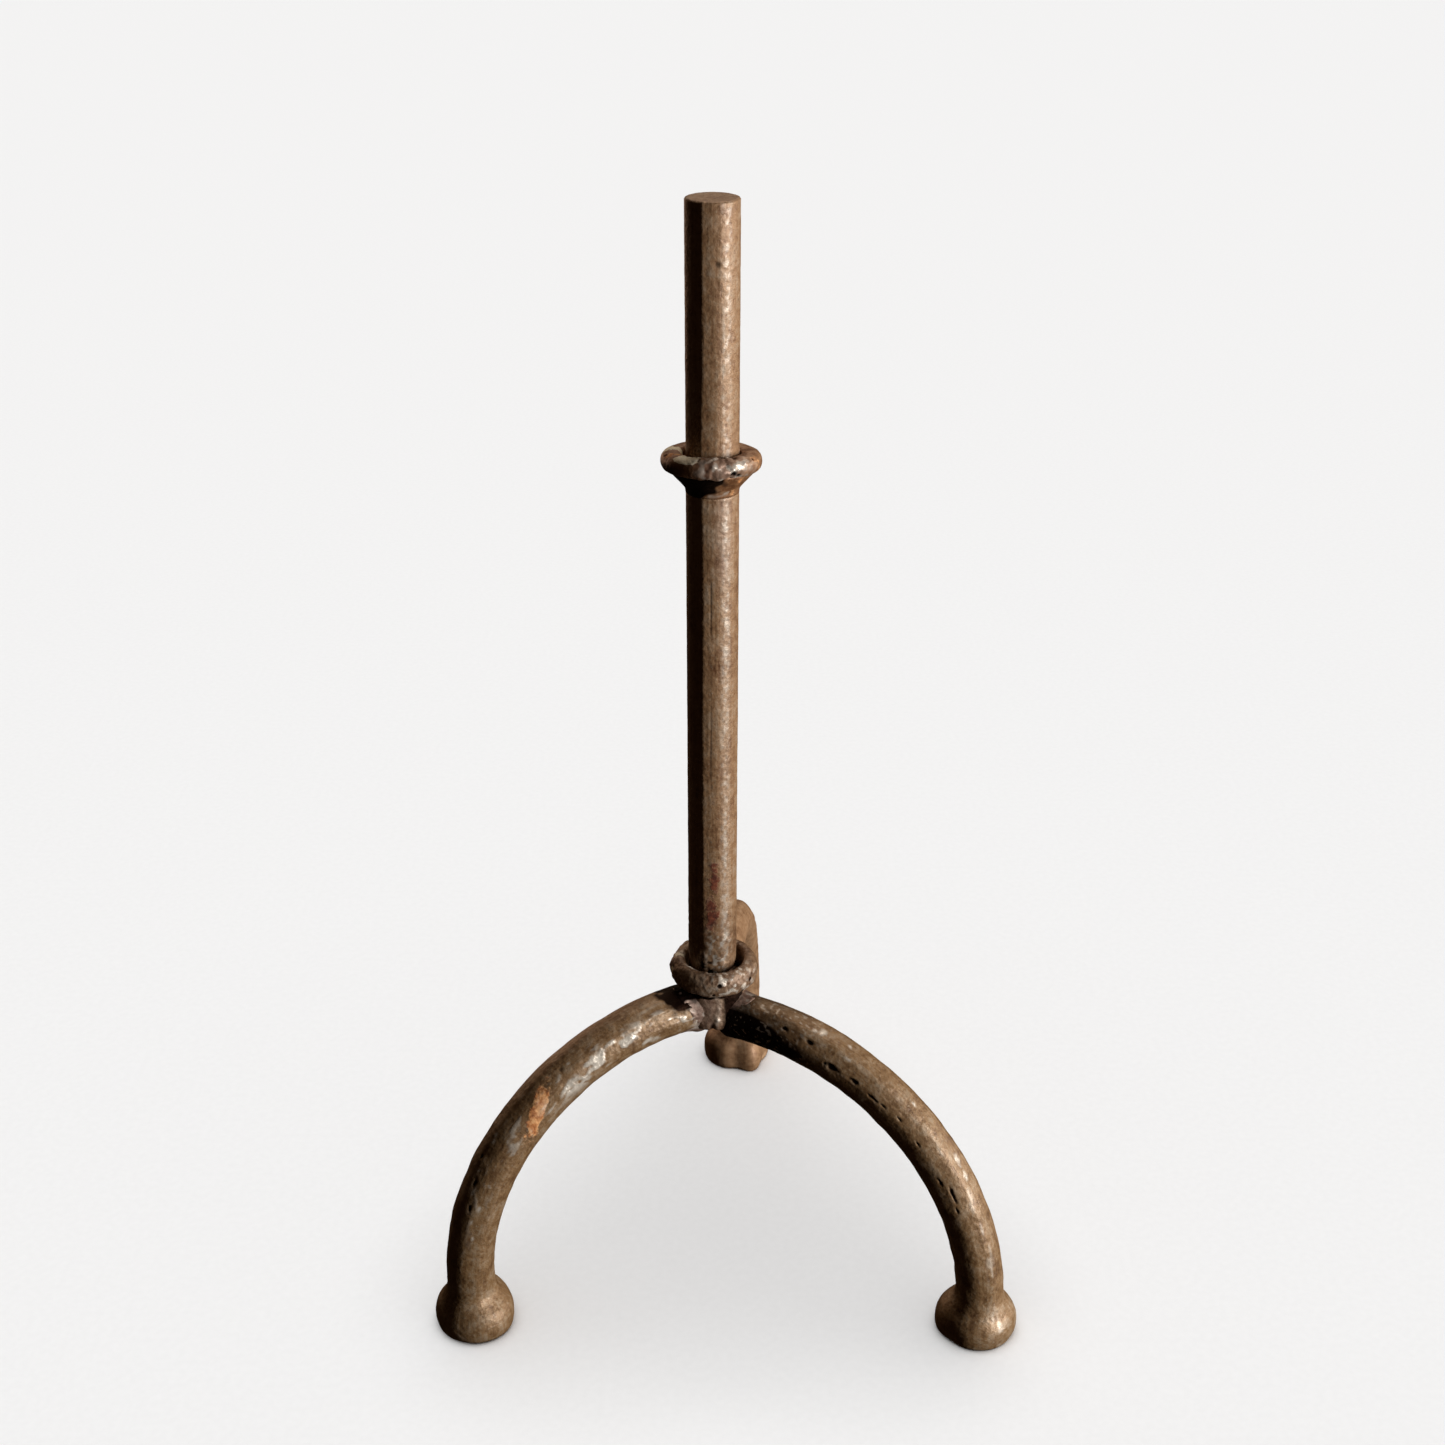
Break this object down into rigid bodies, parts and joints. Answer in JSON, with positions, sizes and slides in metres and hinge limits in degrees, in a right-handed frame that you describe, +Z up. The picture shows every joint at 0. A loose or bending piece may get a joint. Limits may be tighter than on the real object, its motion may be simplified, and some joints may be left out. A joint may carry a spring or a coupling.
{
  "type": "tripod retort stand",
  "caption": "Tripod stand of round forged iron bar: bent legs on a welded hub, a turning column, and a loose upper bar in a flared collar.",
  "frame": {"origin": "on the floor, on the column's axis", "axes": "+Z up the column, -Y to the front between the two front legs, +X to the right"},
  "size_m": [0.1957, 0.1814, 0.365],
  "materials": {
    "bar_iron": "dark brown patina, drawn and hammered, satin",
    "collar_iron": "dark brown patina, pitted, with a trace of old cream paint",
    "hub_iron": "dark brown patina, rough forged",
    "leg_iron": "brown patina worn bright on top, chipped, with light rust",
    "weld_metal": "smooth worn weld metal",
    "inner_steel": "turned, oiled"
  },
  "bodies": {
    "base": {"hub_body": "hub_iron", "hub_ring": "hub_iron", "ring_weld": "weld_metal", "leg_front_left": "leg_iron", "leg_front_right": "leg_iron", "leg_rear": "leg_iron", "foot_front_left": "leg_iron", "foot_front_right": "leg_iron", "foot_rear": "leg_iron", "weld_front_left": "weld_metal", "weld_front_right": "weld_metal", "weld_rear": "weld_metal"},
    "column": {"lower_rod": "bar_iron", "column_stud": "inner_steel", "stud_washer": "inner_steel", "stud_nut": "inner_steel", "collar_socket": "collar_iron", "collar_ring": "collar_iron"},
    "upper_bar": {"upper_rod": "bar_iron", "upper_spigot": "inner_steel"}
  },
  "joints": [
    {"name": "column_swivel", "type": "hinge", "parent": "base", "child": "column", "pos_m": [0, 0, 0.108], "axis": [0, 0, 1], "continuous": true},
    {"name": "upper_bar_lift", "type": "slide", "parent": "column", "child": "upper_bar", "axis": [0, 0, 1], "range_m": [0, 0.05]}
  ]
}
